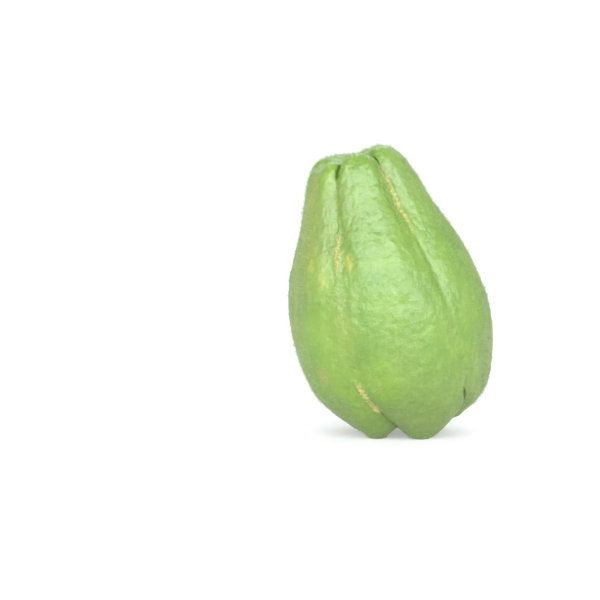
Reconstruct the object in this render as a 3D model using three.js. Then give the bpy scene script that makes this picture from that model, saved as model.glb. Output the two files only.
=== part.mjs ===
// A chayote squash (Sechium edule): one green, pear-shaped fruit that stands on its broad blossom end.
// Five lobes run from the sunken stem scar on the crown, down the leaning neck and over the belly,
// to the folded cleft underneath. It grew as one piece, so it is one closed body.
//
// Millimetres, +Z up. The front of the fruit faces -Y, and a bearing is in degrees, turned from -Y towards +X.
// The origin is under the middle of the fruit's box, on the plane that it stands on.

import * as THREE from "three";

// ---- The wall before it is furrowed ----

// [radius, height] up the wall, from the pit underneath, round the belly and the neck, to the stem scar.
const WALL = [
  [0, 8],
  [5, 5.5],
  [10, 1.2],
  [16, 0.2],
  [22.5, 4.4],
  [29.5, 10.6],
  [36, 19.5],
  [39.7, 31.5],
  [41.5, 45],
  [41, 58],
  [37.9, 71],
  [33, 83],
  [27.9, 94],
  [23.8, 104.5],
  [21.2, 111],
  [17.8, 115.4],
  [13, 117.2],
  [8.5, 115.6],
  [4.5, 111.6],
  [0, 110],
];

const DEPTH_TO_WIDTH = 0.92; // the belly is a little narrower from front to back than from side to side
const CROWN_HEIGHT = 118; // the height that the lean and the tilt are measured at
const LEAN = 21; // how far the crown stands to the -X side of the belly
const LEAN_POWER = 1.8; // above 1, the belly stands nearly straight and the neck does the leaning
const CROWN_TILT = 11; // degrees that the crown's rim is turned, its -X side down
const BELLY_OFFSET = 1.8; // the belly's own offset to the +X side

// ---- The five furrows ----

// Shares of the way up the wall, from the pit at 0 to the stem scar at 1, at which each furrow is measured.
const STATIONS = [0, 0.12, 0.2, 0.3, 0.44, 0.6, 0.78, 0.9, 1];

// At each station: the furrow's bearing, the depth of its broad valley and the depth of the sharp crease in it.
// banks says how far the crease's two sides reach round the fruit, towards smaller and larger bearings.
const FURROWS = [
  {
    bearing: [-2, -5, -15, -25, -27.5, -28.5, -28.5, -21, -21],
    valley: [0, 1.4, 1.4, 1.3, 1.2, 2, 2.2, 1, 0],
    crease: [0, 2.4, 1.8, 0.2, 0.1, 0.2, 0.4, 3.2, 1],
    banks: [3.6, 2.2],
  },
  {
    bearing: [50, 74, 64, 49, 42, 36.5, 33.5, 34.5, 38],
    valley: [0, 1.2, 1, 0.8, 1.4, 2.8, 2.8, 1.2, 0],
    crease: [0, 4, 2.2, 0.3, 0.1, 0.15, 0.4, 2, 1],
    banks: [2.2, 3],
  },
  {
    bearing: [120, 122, 118, 112, 106, 100, 95, 92, 92],
    valley: [0, 1.3, 1.3, 1.3, 1.3, 2, 2, 1.2, 0],
    crease: [0, 4, 1.2, 0.3, 0.1, 0.2, 0.3, 1.6, 1],
    banks: [3, 3],
  },
  {
    bearing: [182, 178, 178, 178, 180, 180, 176, 172, 172],
    valley: [0, 1.4, 1.6, 1.6, 1.6, 2.2, 2, 1.2, 0],
    crease: [0, 7, 2, 0.6, 0.1, 0.2, 0.4, 2.4, 1],
    banks: [3, 3],
  },
  {
    bearing: [250, 252, 253, 255, 257, 259, 261, 263, 263],
    valley: [0, 1.3, 1.3, 1.2, 1, 1.6, 1.6, 1.1, 0],
    crease: [0, 4, 1, 0.2, 0.1, 0.2, 0.3, 1.8, 1],
    banks: [3, 3],
  },
];
const VALLEY_HALF_WIDTH = 12; // degrees
const CREASE_NARROWING = 0.5; // share of a crease's banks that is lost on the way up to the stem scar

// ---- The lobes' ends ----

// Each swelling: its bearing and half-width in degrees, how far it lifts the rim of the crown,
// and how far it lifts (or, below 0, drops) the foot underneath.
const SWELLINGS = [
  { bearing: -2, halfWidth: 24, rim: 0.1, foot: 1.5 },
  { bearing: 66, halfWidth: 20, rim: 1, foot: 0 },
  { bearing: 34, halfWidth: 14, rim: 0, foot: -1.2 },
  { bearing: -64, halfWidth: 26, rim: -3.6, foot: 1.2 },
  { bearing: -38, halfWidth: 13, rim: 0, foot: -2 },
  { bearing: 96, halfWidth: 22, rim: 0, foot: 2.6 },
  { bearing: 150, halfWidth: 26, rim: 0.4, foot: -2.4 },
  { bearing: -145, halfWidth: 26, rim: 0, foot: -1.6 },
];
const RIM_FROM = 92; // the rim's lift grows between these two heights
const RIM_TO = 116;
const FOOT_TO = 24; // a foot's lift fades out by this height
const POLE_CORE = 0.5; // inside this radius of a pole nothing is furrowed or lifted
const POLE_EDGE = 8; // from this radius outwards everything is

// ---- The mesh ----

const ROWS = 48; // up the wall
const COLUMNS_PER_LOBE = 16;
const CROWDING = 0.5; // share of the columns' spacing that crowds them towards the furrows

const { degToRad, smoothstep } = THREE.MathUtils;

const wall = new THREE.SplineCurve(
  WALL.map(([radius, height]) => new THREE.Vector2(radius, height)),
);

// A furrow's measure at a share of the way up the wall, eased from station to station.
function measureAt(values, share) {
  const last = STATIONS.length - 2;
  const next = STATIONS.findIndex((station) => station > share);
  const k = next < 0 ? last : next - 1;
  return THREE.MathUtils.lerp(
    values[k],
    values[k + 1],
    smoothstep(share, STATIONS[k], STATIONS[k + 1]),
  );
}

// The signed turn from one bearing to another, in degrees from -180 to 180.
function turnBetween(from, to) {
  return THREE.MathUtils.euclideanModulo(to - from + 180, 360) - 180;
}

// The bearing of a column of the mesh: the first column of each lobe lies in a furrow all the way up.
function columnBearing(column, share) {
  const lobe = Math.floor(column / COLUMNS_PER_LOBE) % FURROWS.length;
  const across = (column % COLUMNS_PER_LOBE) / COLUMNS_PER_LOBE;
  const crowded = (1 - Math.cos(Math.PI * across)) / 2;
  const start = measureAt(FURROWS[lobe].bearing, share);
  const end = measureAt(FURROWS[(lobe + 1) % FURROWS.length].bearing, share);
  const span = THREE.MathUtils.euclideanModulo(end - start, 360);
  return start + span * THREE.MathUtils.lerp(across, crowded, CROWDING);
}

// How deep the furrows cut into the wall.
function furrowDepth(bearing, share, radius) {
  let depth = 0;
  for (const furrow of FURROWS) {
    const turn = turnBetween(measureAt(furrow.bearing, share), bearing);
    const bank = furrow.banks[turn < 0 ? 0 : 1] * (1 - CREASE_NARROWING * share);
    const away = Math.abs(degToRad(turn)) * Math.max(radius, 4);
    depth += measureAt(furrow.valley, share) * Math.exp(-((turn / VALLEY_HALF_WIDTH) ** 2));
    depth += measureAt(furrow.crease, share) * Math.exp(-away / bank);
  }
  return depth;
}

// How far the lobes' ends stand up at the rim and reach down at the feet.
function endLift(bearing, height) {
  const atRim = smoothstep(height, RIM_FROM, RIM_TO);
  const atFoot = 1 - smoothstep(height, 0, FOOT_TO);
  let lift = 0;
  for (const swelling of SWELLINGS) {
    const turn = turnBetween(swelling.bearing, bearing);
    const near = Math.exp(-((turn / swelling.halfWidth) ** 2));
    lift += near * (swelling.rim * atRim + swelling.foot * atFoot);
  }
  return lift;
}

// The point of the skin at a bearing, a share of the way up the wall.
function skinPoint(bearing, share) {
  const { x: radius, y: height } = wall.getPointAt(share);
  const along = wall.getTangentAt(share);
  const offPole = smoothstep(radius, POLE_CORE, POLE_EDGE);
  const depth = furrowDepth(bearing, share, radius) * offPole;
  const reach = radius - depth * along.y;
  const rise = height + depth * along.x + endLift(bearing, height) * offPole;

  // The rings turn and shift towards -X as they rise, which leans the neck.
  const up = Math.max(rise, 0) / CROWN_HEIGHT;
  const tilt = degToRad(CROWN_TILT) * up;
  const side = reach * Math.sin(degToRad(bearing));
  const front = -reach * Math.cos(degToRad(bearing)) * DEPTH_TO_WIDTH;
  return new THREE.Vector3(
    BELLY_OFFSET - LEAN * up ** LEAN_POWER + side * Math.cos(tilt),
    front,
    Math.max(rise + side * Math.sin(tilt), 0), // the feet are pressed flat on the plane z = 0
  );
}

// A lathe turned from the wall, then every one of its vertices moved onto the skin.
function squashGeometry() {
  const columns = COLUMNS_PER_LOBE * FURROWS.length;
  const geometry = new THREE.LatheGeometry(wall.getSpacedPoints(ROWS), columns);
  const position = geometry.getAttribute("position");
  for (let column = 0; column <= columns; column++) {
    for (let row = 0; row <= ROWS; row++) {
      const share = row / ROWS;
      const point = skinPoint(columnBearing(column, share), share);
      position.setXYZ(column * (ROWS + 1) + row, point.x, point.y, point.z);
    }
  }
  geometry.computeBoundingBox();
  const middle = geometry.boundingBox.getCenter(new THREE.Vector3());
  geometry.translate(-middle.x, -middle.y, 0);
  geometry.computeVertexNormals();
  return geometry;
}

const squash = new THREE.Mesh(
  squashGeometry(),
  new THREE.MeshStandardMaterial({ color: 0x9cc463, roughness: 0.42, metalness: 0 }),
);
squash.name = "chayote_fruit";

const group = new THREE.Group();
group.add(squash);

export default group;
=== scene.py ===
"""A chayote squash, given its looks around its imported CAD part.

The fruit is one fine mesh made from the same form as the CAD solid: a wall turned round an axis,
cut by five furrows and leant to one side. Its ripples, goose-bumps, dents, slits and corky scars
are geometry, and short pale bristles stand on it as a second piece. The form is worked out in
millimetres and put in the scene in metres.
"""

import math

import bpy
import numpy as np
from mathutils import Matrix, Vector, noise


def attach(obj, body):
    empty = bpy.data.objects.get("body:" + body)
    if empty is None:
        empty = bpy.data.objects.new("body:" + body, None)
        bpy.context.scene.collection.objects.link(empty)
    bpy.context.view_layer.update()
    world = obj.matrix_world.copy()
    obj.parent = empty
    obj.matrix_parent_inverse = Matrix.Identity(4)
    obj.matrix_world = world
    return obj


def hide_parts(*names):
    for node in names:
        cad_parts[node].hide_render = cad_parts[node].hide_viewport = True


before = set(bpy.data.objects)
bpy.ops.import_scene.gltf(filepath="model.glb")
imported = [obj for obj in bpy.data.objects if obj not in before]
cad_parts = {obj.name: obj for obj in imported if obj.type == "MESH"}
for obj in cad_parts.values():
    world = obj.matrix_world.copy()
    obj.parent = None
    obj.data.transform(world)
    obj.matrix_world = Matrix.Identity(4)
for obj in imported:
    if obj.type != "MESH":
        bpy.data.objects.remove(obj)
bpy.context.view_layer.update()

MM = 0.001  # metres in a millimetre

# ---- The fruit's form, as in the CAD part, in millimetres and degrees ----
# The front faces -Y, and a bearing is turned from -Y towards +X.

# (radius, height) up the wall, from the pit underneath, round the belly and the neck, to the
# stem scar.
WALL = [
    (0, 8),
    (5, 5.5),
    (10, 1.2),
    (16, 0.2),
    (22.5, 4.4),
    (29.5, 10.6),
    (36, 19.5),
    (39.7, 31.5),
    (41.5, 45),
    (41, 58),
    (37.9, 71),
    (33, 83),
    (27.9, 94),
    (23.8, 104.5),
    (21.2, 111),
    (17.8, 115.4),
    (13, 117.2),
    (8.5, 115.6),
    (4.5, 111.6),
    (0, 110),
]
DEPTH_TO_WIDTH = 0.92  # the belly is a little narrower from front to back than from side to side
CROWN_HEIGHT = 118  # the height that the lean and the tilt are measured at
LEAN = 21  # how far the crown stands to the -X side of the belly
LEAN_POWER = 1.8  # above 1, the belly stands nearly straight and the neck does the leaning
CROWN_TILT = 11  # degrees that the crown's rim is turned, its -X side down
BELLY_OFFSET = 1.8  # the belly's own offset to the +X side

# Shares of the way up the wall, from the pit at 0 to the stem scar at 1, at which each furrow is
# measured.
STATIONS = [0, 0.12, 0.2, 0.3, 0.44, 0.6, 0.78, 0.9, 1]

# At each station: the furrow's bearing, the depth of its broad valley and the depth of the sharp
# crease in it. banks is how far the crease's two sides reach, towards smaller and larger bearings.
FURROWS = [
    {
        "bearing": [-2, -5, -15, -25, -27.5, -28.5, -28.5, -21, -21],
        "valley": [0, 1.4, 1.4, 1.3, 1.2, 2, 2.2, 1, 0],
        "crease": [0, 2.4, 1.8, 0.2, 0.1, 0.2, 0.4, 3.2, 1],
        "banks": (3.6, 2.2),
    },
    {
        "bearing": [50, 74, 64, 49, 42, 36.5, 33.5, 34.5, 38],
        "valley": [0, 1.2, 1, 0.8, 1.4, 2.8, 2.8, 1.2, 0],
        "crease": [0, 4, 2.2, 0.3, 0.1, 0.15, 0.4, 2, 1],
        "banks": (2.2, 3),
    },
    {
        "bearing": [120, 122, 118, 112, 106, 100, 95, 92, 92],
        "valley": [0, 1.3, 1.3, 1.3, 1.3, 2, 2, 1.2, 0],
        "crease": [0, 4, 1.2, 0.3, 0.1, 0.2, 0.3, 1.6, 1],
        "banks": (3, 3),
    },
    {
        "bearing": [182, 178, 178, 178, 180, 180, 176, 172, 172],
        "valley": [0, 1.4, 1.6, 1.6, 1.6, 2.2, 2, 1.2, 0],
        "crease": [0, 7, 2, 0.6, 0.1, 0.2, 0.4, 2.4, 1],
        "banks": (3, 3),
    },
    {
        "bearing": [250, 252, 253, 255, 257, 259, 261, 263, 263],
        "valley": [0, 1.3, 1.3, 1.2, 1, 1.6, 1.6, 1.1, 0],
        "crease": [0, 4, 1, 0.2, 0.1, 0.2, 0.3, 1.8, 1],
        "banks": (3, 3),
    },
]
VALLEY_HALF_WIDTH = 12  # degrees
CREASE_NARROWING = 0.5  # share of a crease's banks that is lost on the way up to the stem scar
CREASE_CORE = 4  # nearer the axis than this, a crease gets no wider in degrees

# Swellings of the lobes' ends: (bearing, half-width, lift of the rim, lift of the foot).
SWELLINGS = [
    (-2, 24, 0.1, 1.5),
    (66, 20, 1, 0),
    (34, 14, 0, -1.2),
    (-64, 26, -3.6, 1.2),
    (-38, 13, 0, -2),
    (96, 22, 0, 2.6),
    (150, 26, 0.4, -2.4),
    (-145, 26, 0, -1.6),
]
RIM_FROM, RIM_TO = 92, 116  # the rim's lift grows between these two heights
FOOT_TO = 24  # a foot's lift fades out by this height
POLE_CORE, POLE_EDGE = 0.5, 8  # furrows and lifts come in between these radii round a pole

# ---- The fine mesh ----

ROWS = 296  # up the wall
COLUMNS_PER_LOBE = 64
CROWDING = 0.5  # share of the columns' spacing that crowds them towards the furrows
SPLINE_STEPS = 40  # steps on the wall's spline for each of its points

# ---- The fine relief, in millimetres ----

# Each kind of wave: its length in X, Y and Z, and its height.
LUMPS = {"cell": (17, 17, 22), "height": 0.6}  # the belly's soft unevenness
RIPPLES = {"cell": (6, 6, 30), "height": 0.6}  # ripples that run up the fruit between its furrows
WRINKLES = {"cell": (4.2, 4.2, 10), "height": 0.2}
DIMPLES = {"cell": (2.5, 2.5, 3.4), "height": 0.2}  # the rind's hammered look
GOOSE_BUMPS = {"cell": (1.4, 1.4, 2.0), "height": 0.2}
NOISE_SHIFT = (31.7, 12.9, 5.3)  # where in the noise a wave of height 1 is read from
DRUM_RADIUS = 40  # the belly's radius
DRUM_HEIGHT = 166  # the way along the wall from the pit to the stem scar
RELIEF_FROM = 3  # the relief comes in between a pole and this radius

# Corky scars along a furrow: (furrow, from share, to share, half-width, strength).
SCARS = [
    (0, 0.74, 0.83, 1.1, 0.5),
    (0, 0.58, 0.71, 1.5, 0.8),
    (0, 0.2, 0.33, 1.9, 1.0),
    (1, 0.665, 0.865, 1.35, 0.8),
    (3, 0.2, 0.36, 0.9, 0.8),
    (4, 0.7, 0.84, 0.7, 0.6),
]
SCAR_ENDS = 0.02  # share of the wall over which a scar's end fades
SCAR_WAVER = {"cell": (4, 4, 7), "height": 2.4}  # a scar's wandering, its height in degrees
SCAR_CRUMBS = {"cell": (1.3, 1.3, 1.3), "height": 0.35}
SCAR_HEIGHT = 0.12  # how far cork stands out under its crumbs
STEM_SCAR_RADIUS = 3.2  # the corky disc in the middle of the crown

# Deep slits in the creases: (furrow, from share, to share, half-width, depth).
SLITS = [
    (0, 0.83, 0.935, 0.8, 1.6),
    (1, 0.855, 0.935, 0.5, 1.2),
    (2, 0.86, 0.95, 0.5, 1.2),
    (3, 0.85, 0.95, 0.6, 1.4),
    (4, 0.86, 0.95, 0.5, 1.2),
    (1, 0.235, 0.295, 0.5, 1.3),
]
SLIT_ENDS = 0.025  # share of the wall over which a slit's end fades

# Dents from knocks: (bearing, height, radius, depth).
DENTS = [
    (-22, 85.5, 1.3, 0.4),
    (6, 87, 1.0, 0.45),
    (9, 81, 0.8, 0.4),
    (12, 79.5, 0.7, 0.35),
    (9, 59, 1.6, 0.45),
    (-18, 52, 1.4, 0.35),
    (22, 74, 1.2, 0.35),
    (140, 66, 1.8, 0.5),
    (205, 84, 1.4, 0.45),
    (262, 48, 1.6, 0.4),
]

# Stains under the skin: (bearing, height, reach round, reach up, yellow, brown).
STAINS = [
    (-60, 80, 16, 30, 0.2, 0),
    (-49, 73, 2.5, 4, 0.35, 0.12),
    (-39, 66, 2, 5, 0.3, 0.05),
    (-20, 74, 2.6, 3.2, 0.8, 0.12),
    (-62, 95, 4, 12, 0.25, 0),
    (-28, 50, 4, 16, 0, 0.3),
    (-50, 27, 3, 3, 0.5, 0.7),
    (118, 52, 8, 13, 0.35, 0),
    (196, 34, 3, 2.5, 0.4, 0.5),
]
SHARP_FROM, SHARP_TO = 0.8, 3  # depths over which a crease comes to count as sharp
SHARP_REACH = 1.1  # how far from its bottom a sharp crease is painted darker, as painted shade

# ---- The bristles, in millimetres ----

BRISTLE_SEED = 7
BRISTLE_COUNT = 24000
BRISTLE_LENGTHS = 0.9, 2.4
BRISTLE_RADIUS = 0.055
BRISTLE_SIDES = 3
BRISTLE_LEAN = 0.35  # spread of the lean that is added to the skin's normal
BRISTLE_ROOT = 0.1  # how deep the foot is sunk into the skin
BRISTLE_SHARES = 0.22, 0.93  # from the bottom of the belly to the rim of the crown
ASIDE = (0.3, 0.2, 0.93)  # any direction: it only gives each bristle's cone a side to start from
BALD_CREASE = 0.1  # crease mask from which nothing grows
FRONT_FACING = -0.6  # Y of the normal beyond which the skin counts as the front
RUBBED_SHARE = 0.1  # share of the bristles that is left on the front, which is rubbed bare

# ---- Colours, as linear red, green and blue ----

LEAF_GREEN = (0.102, 0.208, 0.004)
MID_GREEN = (0.145, 0.260, 0.006)
PALE_GREEN = (0.195, 0.28, 0.046)
GREY_GREEN = (0.130, 0.198, 0.034)
# Painted shade: the darker green laid into the bottoms of the sharp creases.
CREASE_SHADE_GREEN = (0.075, 0.215, 0.002)
SUN_YELLOW = (0.34, 0.31, 0.02)
STAIN_BROWN = (0.28, 0.20, 0.04)
CORK_TAN = (0.50, 0.40, 0.13)
BRISTLE_GREEN = (0.52, 0.58, 0.38)
FLOOR_WHITE = (0.52, 0.5, 0.49)
COOL_WHITE = (0.86, 0.93, 1.0)
WHITE = (1, 1, 1)

# ---- The camera and the room ----

CAMERA_DISTANCE = 1.0  # metres
CAMERA_ELEVATION = 6  # degrees
VIEW_WIDTH = 249  # millimetres that the square frame shows across, at the fruit
MIDDLE_HEIGHT = 60  # millimetres up to the point that the camera and the lights are aimed by
FRUIT_RIGHT, FRUIT_ABOVE = 37.5, 3.9  # millimetres from the frame's middle to that point

# Softboxes: name, place and (width, height) in metres, and power in watts.
SOFTBOXES = [
    ("key", (0.0, -1.06, 0.7), (3.0, 0.85), 48),
    ("back", (0, 1.0, 1.3), (1.8, 1.2), 24),
    ("side", (1.1, 0.1, 0.8), (0.9, 0.9), 2.5),
]
WORLD_STRENGTH = 0.23

FLOOR_REACH, FLOOR_BEND, WALL_HEIGHT = 2.2, 0.9, 1.1  # metres
FLOOR_SIDES = 96
BEND_STEPS = 12
FLOOR_GLOW = 0.48  # a lit light table, so that the paper comes out white
PAINTED_SHADOW_GLOW = 0.35  # weaker under the fruit, which paints its contact shadow
GLOW_FROM, GLOW_TO = 0.02, 0.12  # metres from the fruit's middle over which the glow grows out of the painted contact shadow


# ---- The smooth form ----


def smoothstep(value, low, high):
    """0 below low, 1 above high, eased in between."""
    t = np.clip((value - low) / (high - low), 0, 1)
    return t * t * (3 - 2 * t)


def measure_at(values, share):
    """A furrow's measure at each share of the way up the wall, eased from station to station."""
    stations = np.array(STATIONS, float)
    values = np.array(values, float)
    start = np.clip(np.searchsorted(stations, share, "right") - 1, 0, len(stations) - 2)
    t = smoothstep(share, stations[start], stations[start + 1])
    return values[start] + (values[start + 1] - values[start]) * t


def turn_between(start, end):
    """The signed turn from one bearing to another, from -180 to 180 degrees."""
    return (end - start + 180) % 360 - 180


def wall_points(rows):
    """Radius, height and outward normal of the wall at rows + 1 even steps along its spline."""
    knots = np.array(WALL, float)
    padded = np.vstack([knots[:1], knots, knots[-1:]])
    at = np.linspace(0, len(knots) - 1, SPLINE_STEPS * len(knots))
    start = np.minimum(at.astype(int), len(knots) - 2)
    t = (at - start)[:, None]
    before, here, there, beyond = (padded[start + k] for k in range(4))
    line = here + 0.5 * t * (
        (there - before)
        + t * (2 * before - 5 * here + 4 * there - beyond)
        + t * t * (3 * here - before - 3 * there + beyond)
    )
    steps = np.hypot(*np.diff(line, axis=0).T)
    length = np.concatenate([[0], np.cumsum(steps)])
    even = np.linspace(0, length[-1], rows + 1)
    radius = np.interp(even, length, line[:, 0])
    height = np.interp(even, length, line[:, 1])
    outward = np.stack([np.gradient(height), -np.gradient(radius)])
    outward /= np.hypot(*outward)
    return radius, height, outward


def column_bearings(share):
    """The bearing of every column in every row. Each lobe's first column lies in its furrow."""
    across = np.arange(COLUMNS_PER_LOBE) / COLUMNS_PER_LOBE
    crowded = (1 - np.cos(np.pi * across)) / 2
    spacing = across + (crowded - across) * CROWDING
    columns = []
    for lobe, furrow in enumerate(FURROWS):
        start = measure_at(furrow["bearing"], share)
        end = measure_at(FURROWS[(lobe + 1) % len(FURROWS)]["bearing"], share)
        span = (end - start) % 360
        columns.append(start[:, None] + span[:, None] * spacing)
    return np.hstack(columns)


def furrow_depth(bearing, share, radius):
    """How deep the furrows cut into the wall."""
    depth = np.zeros_like(bearing)
    for furrow in FURROWS:
        turn = turn_between(measure_at(furrow["bearing"], share), bearing)
        bank = np.where(turn < 0, *furrow["banks"]) * (1 - CREASE_NARROWING * share)
        away = np.abs(np.radians(turn)) * np.maximum(radius, CREASE_CORE)
        valley = np.exp(-((turn / VALLEY_HALF_WIDTH) ** 2))
        depth += measure_at(furrow["valley"], share) * valley
        depth += measure_at(furrow["crease"], share) * np.exp(-away / bank)
    return depth


def end_lift(bearing, height):
    """How far the lobes' ends stand up at the rim and reach down at the feet."""
    at_rim = smoothstep(height, RIM_FROM, RIM_TO)
    at_foot = 1 - smoothstep(height, 0, FOOT_TO)
    lift = np.zeros_like(bearing)
    for middle, half_width, rim, foot in SWELLINGS:
        near = np.exp(-((turn_between(middle, bearing) / half_width) ** 2))
        lift += near * (rim * at_rim + foot * at_foot)
    return lift


def fruit_form():
    """The smooth skin as a grid of points.

    With it come each point's bearing, its share of the way up and its distance from the axis.
    """
    radius, height, outward = wall_points(ROWS)
    share = np.linspace(0, 1, ROWS + 1)
    bearing = column_bearings(share)
    radius, height, share = (
        np.broadcast_to(values[:, None], bearing.shape) for values in (radius, height, share)
    )
    off_pole = smoothstep(radius, POLE_CORE, POLE_EDGE)
    depth = furrow_depth(bearing, share, radius) * off_pole
    reach = radius - depth * outward[0][:, None]
    rise = height - depth * outward[1][:, None] + end_lift(bearing, height) * off_pole

    # The rings turn and shift towards -X as they rise, which leans the neck.
    up = np.maximum(rise, 0) / CROWN_HEIGHT
    tilt = np.radians(CROWN_TILT) * up
    side = reach * np.sin(np.radians(bearing))
    front = -reach * np.cos(np.radians(bearing)) * DEPTH_TO_WIDTH
    across = BELLY_OFFSET - LEAN * up**LEAN_POWER + side * np.cos(tilt)
    points = np.stack([across, front, rise + side * np.sin(tilt)], axis=-1)
    return points, bearing, share, reach


def grid_normals(points):
    """The outward normal at each point of the grid, whose columns close on themselves."""
    up = np.gradient(points, axis=0)
    round_it = np.roll(points, -1, axis=1) - np.roll(points, 1, axis=1)
    normals = np.cross(round_it, up)
    normals[0] = (0, 0, -1)
    normals[-1] = (0, 0, 1)
    return normals / np.maximum(np.linalg.norm(normals, axis=-1, keepdims=True), 1e-9)


# ---- The fine relief and the masks ----


def waves(points, cell, height):
    """Smooth noise of that height whose waves are cell long in X, Y and Z."""
    scaled = (points / np.array(cell)).reshape(-1, 3)
    shift = Vector(NOISE_SHIFT) * height
    values = [noise.noise(Vector(p) + shift) for p in scaled]
    return np.array(values).reshape(points.shape[:-1]) * height


def furrow_grid(points):
    """The grid rolled onto an upright drum of the belly's size, where furrows are straight."""
    rows, columns = points.shape[:2]
    turns = np.linspace(0, 2 * np.pi, columns, endpoint=False)
    heights = np.linspace(0, DRUM_HEIGHT, rows)[:, None]
    across, front = DRUM_RADIUS * np.cos(turns), DRUM_RADIUS * np.sin(turns)
    return np.stack(np.broadcast_arrays(across, front, heights), axis=-1)


def along_furrows(marks, fade, bearing, share, radius):
    """The strongest mark at each point. Marks fade beside their furrow and towards their ends."""
    strength = np.zeros_like(bearing)
    for furrow, low, high, half_width, most in marks:
        turn = turn_between(measure_at(FURROWS[furrow]["bearing"], share), bearing)
        away = np.radians(turn) * radius
        ends = smoothstep(share, low, low + fade) * (1 - smoothstep(share, high - fade, high))
        strength = np.maximum(strength, most * ends * np.exp(-((away / half_width) ** 2)))
    return strength


def spot(points, bearing, radius, at, reach_round, reach_up):
    """1 at a spot given by (bearing, height), fading over its reach in millimetres."""
    round_it = np.radians(turn_between(at[0], bearing)) * radius / reach_round
    up = (points[..., 2] - at[1]) / reach_up
    return np.exp(-(round_it**2) - up**2)


def cork_mask(points, bearing, share, radius):
    """How corky the skin is: along the wavering scars and on the stem scar."""
    wavering = bearing + waves(points, **SCAR_WAVER)
    scars = along_furrows(SCARS, SCAR_ENDS, wavering, share, radius)
    on_crown = share > 0.5
    return np.maximum(scars, np.exp(-((radius / STEM_SCAR_RADIUS) ** 4)) * on_crown)


def crease_mask(bearing, share, radius):
    """1 in the bottom of a sharp crease, 0 away from it and where the furrow has no crease. The
    skin's material paints shade by it.
    """
    closeness = np.zeros_like(bearing)
    for furrow in FURROWS:
        turn = turn_between(measure_at(furrow["bearing"], share), bearing)
        away = np.abs(np.radians(turn)) * radius
        sharp = smoothstep(measure_at(furrow["crease"], share), SHARP_FROM, SHARP_TO)
        closeness = np.maximum(closeness, sharp * np.exp(-away / SHARP_REACH))
    return closeness


def stain_masks(points, bearing, radius):
    """How yellow and how brown the stains make the skin."""
    yellow = np.zeros_like(bearing)
    brown = np.zeros_like(bearing)
    for at_bearing, at_height, reach_round, reach_up, yellowness, brownness in STAINS:
        at = (at_bearing, at_height)
        stain = spot(points, bearing, radius, at, reach_round, reach_up)
        yellow += yellowness * stain
        brown += brownness * stain
    return yellow, brown


def skin_relief(points, bearing, share, radius, cork):
    """How far the skin stands out from its smooth form."""
    relief = sum(waves(points, **kind) for kind in (LUMPS, WRINKLES, DIMPLES, GOOSE_BUMPS))
    relief += waves(furrow_grid(points), **RIPPLES) * radius / DRUM_RADIUS
    relief -= along_furrows(SLITS, SLIT_ENDS, bearing, share, radius)
    relief += cork * (SCAR_HEIGHT + waves(points, **SCAR_CRUMBS))
    for at_bearing, at_height, reach, depth in DENTS:
        relief -= depth * spot(points, bearing, radius, (at_bearing, at_height), reach, reach)
    return relief * smoothstep(radius, 0, RELIEF_FROM)


def fruit_surface():
    """The finished skin's grid, with the masks that its material reads."""
    smooth, bearing, share, radius = fruit_form()
    cork = cork_mask(smooth, bearing, share, radius)
    yellow, brown = stain_masks(smooth, bearing, radius)
    # The skin is painted darker as shade in the sharp creases' bottoms, and no bristles grow
    # there.
    crease = crease_mask(bearing, share, radius)
    masks = {"cork": cork, "yellow": yellow, "brown": brown, "crease": crease}

    relief = skin_relief(smooth, bearing, share, radius, cork)
    points = smooth + grid_normals(smooth) * relief[..., None]
    points[..., 2] = np.maximum(points[..., 2], 0)  # the feet are pressed flat
    middle = (smooth.min(axis=(0, 1)) + smooth.max(axis=(0, 1))) / 2
    points[..., :2] -= middle[:2]
    return points, masks


# ---- Meshes ----


def closed_mesh(name, points, masks):
    """A mesh with float attributes, from a grid whose first and last rows are each one point."""

    def flat(grid):
        rings = grid[1:-1].reshape(-1, *grid.shape[2:])
        return np.concatenate([grid[0, :1], rings, grid[-1, :1]])

    rows, columns = points.shape[0] - 2, points.shape[1]
    ring = np.arange(rows * columns).reshape(rows, columns) + 1
    after = np.roll(ring, -1, axis=1)
    top = rows * columns + 1
    quads = np.stack([ring[:-1], after[:-1], after[1:], ring[1:]], axis=-1)
    faces = quads.reshape(-1, 4).tolist()
    faces += [(0, b, a) for a, b in zip(ring[0].tolist(), after[0].tolist())]
    faces += [(top, a, b) for a, b in zip(ring[-1].tolist(), after[-1].tolist())]

    mesh = bpy.data.meshes.new(name)
    mesh.from_pydata((flat(points) * MM).tolist(), [], faces)
    for mask, values in masks.items():
        attribute = mesh.attributes.new(mask, "FLOAT", "POINT")
        attribute.data.foreach_set("value", flat(values).astype(np.float32))
    mesh.shade_smooth()
    return mesh


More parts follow.
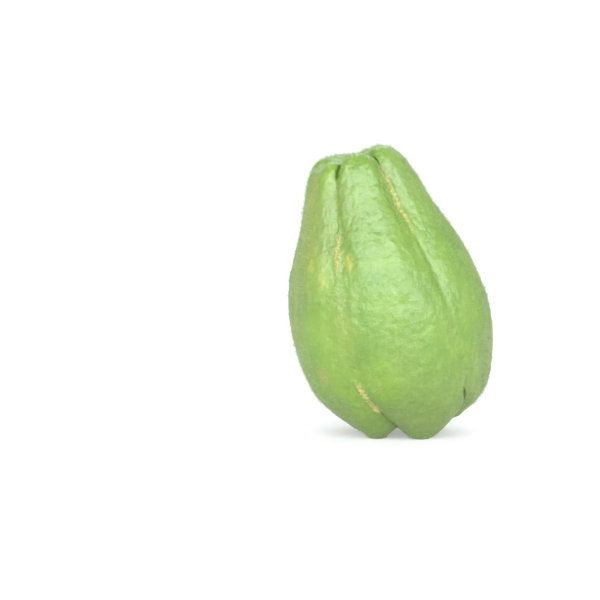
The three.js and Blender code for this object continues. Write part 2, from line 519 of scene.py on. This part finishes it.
def bristle_mesh(points, crease):
    """Short hairs standing on the skin, each a closed cone whose foot is sunk into it."""
    rng = np.random.default_rng(BRISTLE_SEED)
    normals = grid_normals(points)
    lowest, highest = (int(share * ROWS) for share in BRISTLE_SHARES)
    rows = rng.integers(lowest, highest, BRISTLE_COUNT)
    columns = rng.integers(0, points.shape[1], BRISTLE_COUNT)
    on_front = normals[rows, columns, 1] < FRONT_FACING
    kept = ~on_front | (rng.random(BRISTLE_COUNT) < RUBBED_SHARE)
    kept &= crease[rows, columns] < BALD_CREASE
    rows, columns = rows[kept], columns[kept]
    lengths = rng.uniform(*BRISTLE_LENGTHS, len(rows))
    leans = rng.normal(0, BRISTLE_LEAN, (len(rows), 3))
    turns = np.linspace(0, 2 * np.pi, BRISTLE_SIDES, endpoint=False)

    verts, faces = [], []
    for row, column, length, lean in zip(rows, columns, lengths, leans):
        base = points[row, column]
        way = normals[row, column] + lean
        way /= np.linalg.norm(way)
        side = np.cross(way, ASIDE)
        side /= np.linalg.norm(side)
        other = np.cross(way, side)
        foot = base - way * BRISTLE_ROOT
        first = len(verts)
        verts += [foot + BRISTLE_RADIUS * (side * np.cos(t) + other * np.sin(t)) for t in turns]
        verts.append(base + way * length)
        tip = first + BRISTLE_SIDES
        ring = list(range(first, tip))
        faces += [(a, b, tip) for a, b in zip(ring, ring[1:] + ring[:1])]
        faces.append(tuple(reversed(ring)))
    mesh = bpy.data.meshes.new("bristles")
    mesh.from_pydata((np.array(verts) * MM).tolist(), [], faces)
    return mesh


def add_object(name, mesh, material):
    """An object of the mesh in the scene, with its material."""
    made = bpy.data.objects.new(name, mesh)
    bpy.context.scene.collection.objects.link(made)
    mesh.materials.append(material)
    return made


# ---- Shader nodes ----


def feed(tree, socket, value):
    """Link another node's output to the socket, or set the socket to a number or a colour."""
    if isinstance(value, bpy.types.NodeSocket):
        tree.links.new(value, socket)
    elif isinstance(value, tuple) and socket.type == "RGBA":
        socket.default_value = (*value, 1)
    else:
        socket.default_value = value


def feed_all(tree, node, inputs):
    """Feed a node's inputs, given by their names."""
    for name, value in inputs.items():
        feed(tree, node.inputs[name], value)


def add_node(tree, kind, inputs, **settings):
    """A shader node with its settings, and its inputs fed."""
    node = tree.nodes.new(kind)
    for name, value in settings.items():
        setattr(node, name, value)
    feed_all(tree, node, inputs)
    return node


def new_material(name):
    """A material whose tree has only a Principled shader and the output."""
    material = bpy.data.materials.new(name)
    material.use_nodes = True
    tree = material.node_tree
    return material, tree, tree.nodes["Principled BSDF"]


def object_place(tree):
    """The place on the object, in metres."""
    return add_node(tree, "ShaderNodeTexCoord", {}).outputs["Object"]


def noise_value(tree, where, scale, detail=3, roughness=0.55):
    """Smooth noise from 0 to 1, with scale waves to the metre."""
    inputs = {"Vector": where, "Scale": scale, "Detail": detail, "Roughness": roughness}
    return add_node(tree, "ShaderNodeTexNoise", inputs).outputs["Fac"]


def between(tree, value, low, high, to_low=0.0, to_high=1.0):
    """The value carried from the range low to high onto to_low to to_high, eased and clamped."""
    inputs = {
        "Value": value,
        "From Min": low,
        "From Max": high,
        "To Min": to_low,
        "To Max": to_high,
    }
    made = add_node(tree, "ShaderNodeMapRange", inputs, interpolation_type="SMOOTHSTEP")
    return made.outputs["Result"]


def arithmetic(tree, operation, first, second):
    """The two values added, multiplied or so on."""
    made = add_node(tree, "ShaderNodeMath", {}, operation=operation)
    for socket, value in zip(made.inputs, (first, second)):
        feed(tree, socket, value)
    return made.outputs["Value"]


def total(tree, *values):
    """The sum of the values."""
    result = values[0]
    for value in values[1:]:
        result = arithmetic(tree, "ADD", result, value)
    return result


def product(tree, *values):
    """The values multiplied together."""
    result = values[0]
    for value in values[1:]:
        result = arithmetic(tree, "MULTIPLY", result, value)
    return result


def blend_colour(tree, share, first, second):
    """The first colour going over to the second by share."""
    made = add_node(tree, "ShaderNodeMix", {}, data_type="RGBA")
    colour_a, colour_b = (s for s in made.inputs if s.type == "RGBA")
    for socket, value in ((made.inputs[0], share), (colour_a, first), (colour_b, second)):
        feed(tree, socket, value)
    return next(s for s in made.outputs if s.type == "RGBA")


def mask_value(tree, name):
    """A mask that was stored on the mesh."""
    return add_node(tree, "ShaderNodeAttribute", {}, attribute_name=name).outputs["Fac"]


# ---- Materials ----


def skin_noises(tree):
    """The rind's noises by name, from its broad patches down to its finest crumbs."""
    where = object_place(tree)
    inputs = {"Vector": where, "Scale": (1, 1, 0.16)}
    stretched = add_node(tree, "ShaderNodeMapping", inputs).outputs["Vector"]
    inputs = {"Vector": where, "Scale": 620.0}
    flecks = add_node(tree, "ShaderNodeTexVoronoi", inputs).outputs["Distance"]
    return {
        "patches": noise_value(tree, where, scale=22, detail=2),
        "mottle": noise_value(tree, where, scale=55, detail=4),
        "streaks": noise_value(tree, stretched, scale=260),
        "speckle": noise_value(tree, where, scale=330, detail=4, roughness=0.7),
        "blotches": noise_value(tree, where, scale=480, detail=4, roughness=0.7),
        "flecks": flecks,
        "grain": noise_value(tree, where, scale=900),
        "crumbs": noise_value(tree, where, scale=1000, roughness=0.7),
    }


def cork_share(tree, crumbs):
    """How corky the skin looks: the scars' mask with ragged edges."""
    ragged = total(tree, mask_value(tree, "cork"), between(tree, crumbs, 0.32, 0.68, -0.55, 0.1))
    return between(tree, ragged, 0.08, 0.75)


def skin_colour(tree, noises, cork):
    """Leaf green under layers of other greens, then the stains, painted shade in the creases and
    the cork.
    """
    spotty = between(tree, noises["speckle"], 0.4, 0.6, 0.4, 1)
    blotchy = between(tree, noises["blotches"], 0.4, 0.6, 0.1, 1)
    paleness = between(tree, noises["grain"], 0.4, 0.65, 0, 0.6)

    # Each layer's share and colour. A share fades in over a range of its noise or mask, between
    # the two shares that come after that range.
    layers = [
        (between(tree, noises["mottle"], 0.3, 0.72), MID_GREEN),
        (between(tree, noises["patches"], 0.42, 0.68, 0, 0.6), GREY_GREEN),
        (between(tree, noises["streaks"], 0.5, 0.72, 0, 0.45), PALE_GREEN),
        (between(tree, noises["speckle"], 0.5, 0.7, 0, 0.5), PALE_GREEN),
        (between(tree, noises["flecks"], 0.1, 0.26, 0.4, 0), PALE_GREEN),
        (product(tree, mask_value(tree, "yellow"), spotty), SUN_YELLOW),
        (product(tree, mask_value(tree, "brown"), blotchy), STAIN_BROWN),
        # Painted shade: the crease bottoms darkened where shade falls in them.
        (between(tree, mask_value(tree, "crease"), 0.15, 1, 0, 0.85), CREASE_SHADE_GREEN),
        (product(tree, cork, 0.9), blend_colour(tree, paleness, CORK_TAN, PALE_GREEN)),
    ]
    colour = LEAF_GREEN
    for share, layer_colour in layers:
        colour = blend_colour(tree, share, colour, layer_colour)
    return colour


def skin_bump(tree, noises, cork):
    """The finest relief: grain, shallow pits round the flecks and crumbs on the cork."""
    pitting = product(tree, between(tree, noises["flecks"], 0.0, 0.2), 0.07)
    grain = product(tree, noises["grain"], 0.2)
    speckle = product(tree, noises["speckle"], 0.3)
    crumbs = product(tree, cork, noises["crumbs"], 0.3)
    relief = total(tree, grain, speckle, pitting, crumbs)
    inputs = {"Height": relief, "Distance": MM, "Strength": 1.0}
    return add_node(tree, "ShaderNodeBump", inputs).outputs["Normal"]


def skin_material():
    """Waxy light green rind: mottled and streaked, yellower in places, tan cork on its scars."""
    material, tree, shader = new_material("chayote_skin")
    noises = skin_noises(tree)
    cork = cork_share(tree, noises["crumbs"])
    gloss = between(tree, noises["speckle"], 0.35, 0.65, 0.36, 0.5)
    looks = {
        "Base Color": skin_colour(tree, noises, cork),
        "Roughness": total(tree, gloss, product(tree, cork, 0.3)),
        "Specular IOR Level": 0.95,
        "Subsurface Weight": 0.2,
        "Subsurface Radius": (0.9, 1.0, 0.3),
        "Subsurface Scale": 2.5 * MM,
        "Normal": skin_bump(tree, noises, cork),
    }
    feed_all(tree, shader, looks)
    return material


def bristle_material():
    """Pale, slightly see-through hairs."""
    material, tree, shader = new_material("bristle")
    shade = noise_value(tree, object_place(tree), scale=120)
    looks = {
        "Base Color": blend_colour(tree, shade, BRISTLE_GREEN, PALE_GREEN),
        "Roughness": 0.5,
        "Transmission Weight": 0.3,
    }
    feed_all(tree, shader, looks)
    return material


def floor_material():
    """White paper on a light table, whose glow is weaker round the fruit's middle: a painted
    contact shadow.
    """
    material, tree, shader = new_material("paper")
    inputs = {"Vector": object_place(tree)}
    away = add_node(tree, "ShaderNodeVectorMath", inputs, operation="LENGTH").outputs["Value"]
    looks = {
        "Base Color": FLOOR_WHITE,
        "Emission Color": WHITE,
        # Painted contact shadow: the glow is weaker near the fruit's middle.
        "Emission Strength": between(tree, away, GLOW_FROM, GLOW_TO, PAINTED_SHADOW_GLOW, FLOOR_GLOW),
        "Roughness": 0.9,
        "Specular IOR Level": 0.1,
    }
    feed_all(tree, shader, looks)
    return material


# ---- Camera, lights and backdrop ----


def add_camera():
    """A long lens straight in front of the fruit, which comes right of the frame's middle."""
    data = bpy.data.cameras.new("camera")
    data.lens = data.sensor_width * CAMERA_DISTANCE / (VIEW_WIDTH * MM)
    camera = bpy.data.objects.new("camera", data)
    bpy.context.scene.collection.objects.link(camera)
    bpy.context.scene.camera = camera

    elevation = math.radians(CAMERA_ELEVATION)
    target = Vector((0, 0, MIDDLE_HEIGHT)) * MM
    back = Vector((0, -math.cos(elevation), math.sin(elevation)))
    camera.location = target + back * CAMERA_DISTANCE
    right = Vector((1, 0, 0))
    above = Vector((0, math.sin(elevation), math.cos(elevation)))
    aim = target - (right * FRUIT_RIGHT + above * FRUIT_ABOVE) * MM
    camera.rotation_euler = (aim - camera.location).to_track_quat("-Z", "Y").to_euler()


def add_softbox(name, place, size, power):
    """A cool white softbox of that (width, height) at that place, turned to the fruit."""
    data = bpy.data.lights.new(name, "AREA")
    data.color = COOL_WHITE
    data.shape = "RECTANGLE"
    data.size, data.size_y = size
    data.energy = power
    light = bpy.data.objects.new(name, data)
    light.location = place
    way = Vector((0, 0, MIDDLE_HEIGHT * MM)) - light.location
    light.rotation_euler = way.to_track_quat("-Z", "Y").to_euler()
    bpy.context.scene.collection.objects.link(light)


def add_backdrop():
    """A round paper floor that curves up into a low wall all round."""
    profile = []
    for bend in np.linspace(0, np.pi / 2, BEND_STEPS + 1):
        reach = FLOOR_REACH - FLOOR_BEND * (1 - math.sin(bend))
        profile.append((reach, FLOOR_BEND * (1 - math.cos(bend))))
    profile.append((FLOOR_REACH, WALL_HEIGHT))

    turns = np.linspace(0, 2 * np.pi, FLOOR_SIDES, endpoint=False)
    verts = []
    for reach, height in profile:
        verts += [(reach * math.cos(turn), reach * math.sin(turn), height) for turn in turns]
    faces = [tuple(range(FLOOR_SIDES))]
    for ring in range(len(profile) - 1):
        start = ring * FLOOR_SIDES
        for side in range(FLOOR_SIDES):
            here, there = start + side, start + (side + 1) % FLOOR_SIDES
            faces.append((here, here + FLOOR_SIDES, there + FLOOR_SIDES, there))
    mesh = bpy.data.meshes.new("backdrop")
    mesh.from_pydata(verts, [], faces)
    mesh.shade_smooth()
    add_object("backdrop", mesh, floor_material())


def add_room():
    """White surroundings, soft studio lights and the backdrop."""
    scene = bpy.context.scene
    world = bpy.data.worlds.new("studio")
    world.use_nodes = True
    background = world.node_tree.nodes["Background"]
    feed_all(world.node_tree, background, {"Color": WHITE, "Strength": WORLD_STRENGTH})
    scene.world = world
    for softbox in SOFTBOXES:
        add_softbox(*softbox)
    add_backdrop()
    scene.view_settings.view_transform = "Standard"


points, masks = fruit_surface()
add_camera()
add_room()

fruit = add_object("fruit", closed_mesh("fruit", points, masks), skin_material())
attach(fruit, "root")
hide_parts("chayote_fruit")

bristles = add_object("bristles", bristle_mesh(points, masks["crease"]), bristle_material())
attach(bristles, "root")
